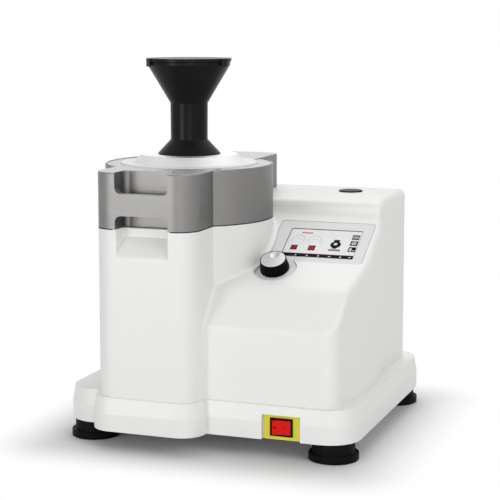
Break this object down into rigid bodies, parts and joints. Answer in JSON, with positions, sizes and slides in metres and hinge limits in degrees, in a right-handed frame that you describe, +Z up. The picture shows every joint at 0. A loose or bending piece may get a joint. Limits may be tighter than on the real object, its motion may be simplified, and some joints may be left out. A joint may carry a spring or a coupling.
{
  "type": "rotor mill",
  "caption": "Bench-top rotor mill with a hinged metal lid, feed funnel, grinding chamber and sloping touch-screen console on a footed plinth.",
  "frame": {"origin": "on the ground at the middle of the outline", "axes": "+X to the right seen from the front, +Y to the back, +Z up"},
  "size_m": [0.4268, 0.4346, 0.5354],
  "materials": {
    "white_body": "fine matt moulding",
    "cast_lid": "bead-blasted satin",
    "turned_cone": "satin turned",
    "cast_tub": "machined casting",
    "white_insert": "smooth white",
    "black_plastic": "satin black",
    "black_gloss": "black",
    "knob_metal": "fine satin",
    "foil": "light grey film",
    "screen_glass": "polished, lit from behind",
    "yellow_plate": "signal yellow",
    "red_rocker": "red",
    "foot_rubber": "black rubber",
    "seal_rubber": "soft grey-black",
    "steel": "ground",
    "stainless": "polished stainless",
    "zinc_steel": "zinc plated",
    "panel_steel": "powder coated light grey",
    "motor_alu": "die cast",
    "copper_pack": "varnished winding pack",
    "module_black": "black housing",
    "brass_pins": "bright"
  },
  "bodies": {
    "housing": {"base_tray": "white_body", "base_plate": "zinc_steel", "front_left_foot": "foot_rubber", "front_right_foot": "foot_rubber", "rear_left_foot": "foot_rubber", "rear_right_foot": "foot_rubber", "foot_bolts": "zinc_steel", "foot_nuts": "zinc_steel", "tray_screws": "zinc_steel", "housing_screws": "zinc_steel", "switch_plate": "yellow_plate", "switch_frame": "black_gloss", "housing_shell": "white_body", "rear_panel": "panel_steel", "rear_panel_screws": "zinc_steel", "mains_inlet": "black_plastic", "inlet_pins": "brass_pins", "front_foil": "foil", "display_glass": "screen_glass", "display_module": "module_black", "encoder_body": "zinc_steel", "rod_socket": "steel", "chamber_tub": "cast_tub", "collecting_pan": "stainless", "sieve_ring": "stainless", "upper_bearing": "steel", "lower_bearing": "steel", "motor_frame": "motor_alu", "motor_stator": "copper_pack", "chamber_posts": "steel", "rubber_buffers": "seal_rubber", "motor_drive": "motor_alu", "hinge_brackets": "zinc_steel", "lock_case": "module_black"},
    "lid": {"lid_casting": "cast_lid", "lid_insert": "white_insert", "lid_screws": "zinc_steel", "feed_cone": "turned_cone", "feed_tube": "stainless", "pan_cover": "stainless", "lid_seal": "seal_rubber", "lid_striker": "steel", "hinge_pin": "steel"},
    "funnel": {"feed_funnel": "black_plastic"},
    "funnel_lid": {"funnel_lid": "black_plastic"},
    "rotor": {"rotor": "stainless", "rotor_cap": "stainless", "drive_shaft": "steel", "motor_armature": "steel", "cooling_fan": "black_plastic"},
    "knob": {"knob_skirt": "black_plastic", "knob_cap": "knob_metal", "encoder_shaft": "steel"},
    "rocker": {"power_rocker": "red_rocker"},
    "socket_cap": {"socket_cap": "black_plastic"},
    "lock_bolt": {"lock_bolt": "steel"}
  },
  "joints": [
    {"name": "lid_hinge", "type": "hinge", "parent": "housing", "child": "lid", "pos_m": [-0.0765, 0.1371, 0.3512], "axis": [-1, 0, 0], "range_deg": [0, 80]},
    {"name": "funnel_lift", "type": "slide", "parent": "lid", "child": "funnel", "axis": [0, 0, 1], "range_m": [0, 0.05]},
    {"name": "funnel_lid_lift", "type": "slide", "parent": "funnel", "child": "funnel_lid", "axis": [0, 0, 1], "range_m": [0, 0.03]},
    {"name": "rotor_spin", "type": "hinge", "parent": "housing", "child": "rotor", "pos_m": [-0.0765, -0.0361, 0.25], "axis": [0, 0, 1], "continuous": true},
    {"name": "knob_turn", "type": "hinge", "parent": "housing", "child": "knob", "pos_m": [0.069, -0.07675, 0.24353], "axis": [0, -0.5, 0.866], "continuous": true},
    {"name": "power_rocker_tilt", "type": "hinge", "parent": "housing", "child": "rocker", "pos_m": [0.1129, -0.1721, 0.0445], "axis": [0, 0, -1], "range_deg": [0, 16]},
    {"name": "socket_cap_pull", "type": "slide", "parent": "housing", "child": "socket_cap", "axis": [0, 0, 1], "range_m": [0, 0.02]},
    {"name": "lock_bolt_slide", "type": "slide", "parent": "housing", "child": "lock_bolt", "axis": [-1, 0, 0], "range_m": [0, 0.012]}
  ]
}
